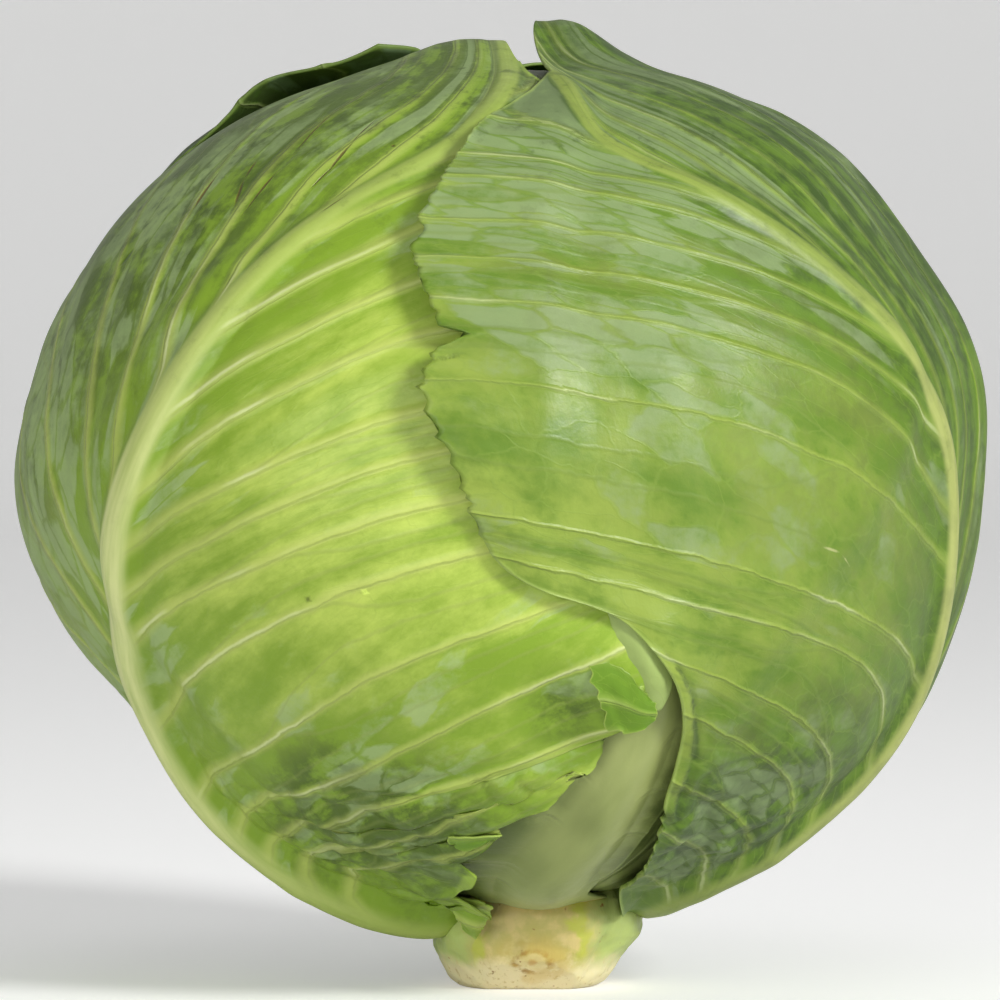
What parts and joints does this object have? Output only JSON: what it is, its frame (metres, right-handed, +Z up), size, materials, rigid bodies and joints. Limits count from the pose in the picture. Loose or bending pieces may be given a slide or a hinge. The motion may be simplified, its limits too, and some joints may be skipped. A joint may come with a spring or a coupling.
{
  "type": "cabbage head",
  "caption": "Trimmed head of white cabbage with overlapping wrapper leaves, standing on its cut stump.",
  "frame": {"origin": "middle of the stump's cut face, which the head stands on", "axes": "+Z up along the stump, -Y towards the front of the picture, +X to its right"},
  "size_m": [0.1797, 0.1809, 0.1796],
  "materials": {
    "left_leaf": "waxy leaf",
    "right_leaf": "waxy leaf with pale bloom",
    "back_leaf": "waxy leaf",
    "pale_leaf": "smooth pale midrib",
    "stump_flesh": "moist cut flesh"
  },
  "bodies": {
    "root": {"stump": "stump_flesh", "inner_head": "pale_leaf", "leaf_front_inner": "pale_leaf", "leaf_back_right": "back_leaf", "leaf_left": "left_leaf", "leaf_right": "right_leaf", "leaf_back_left": "back_leaf"}
  },
  "joints": []
}
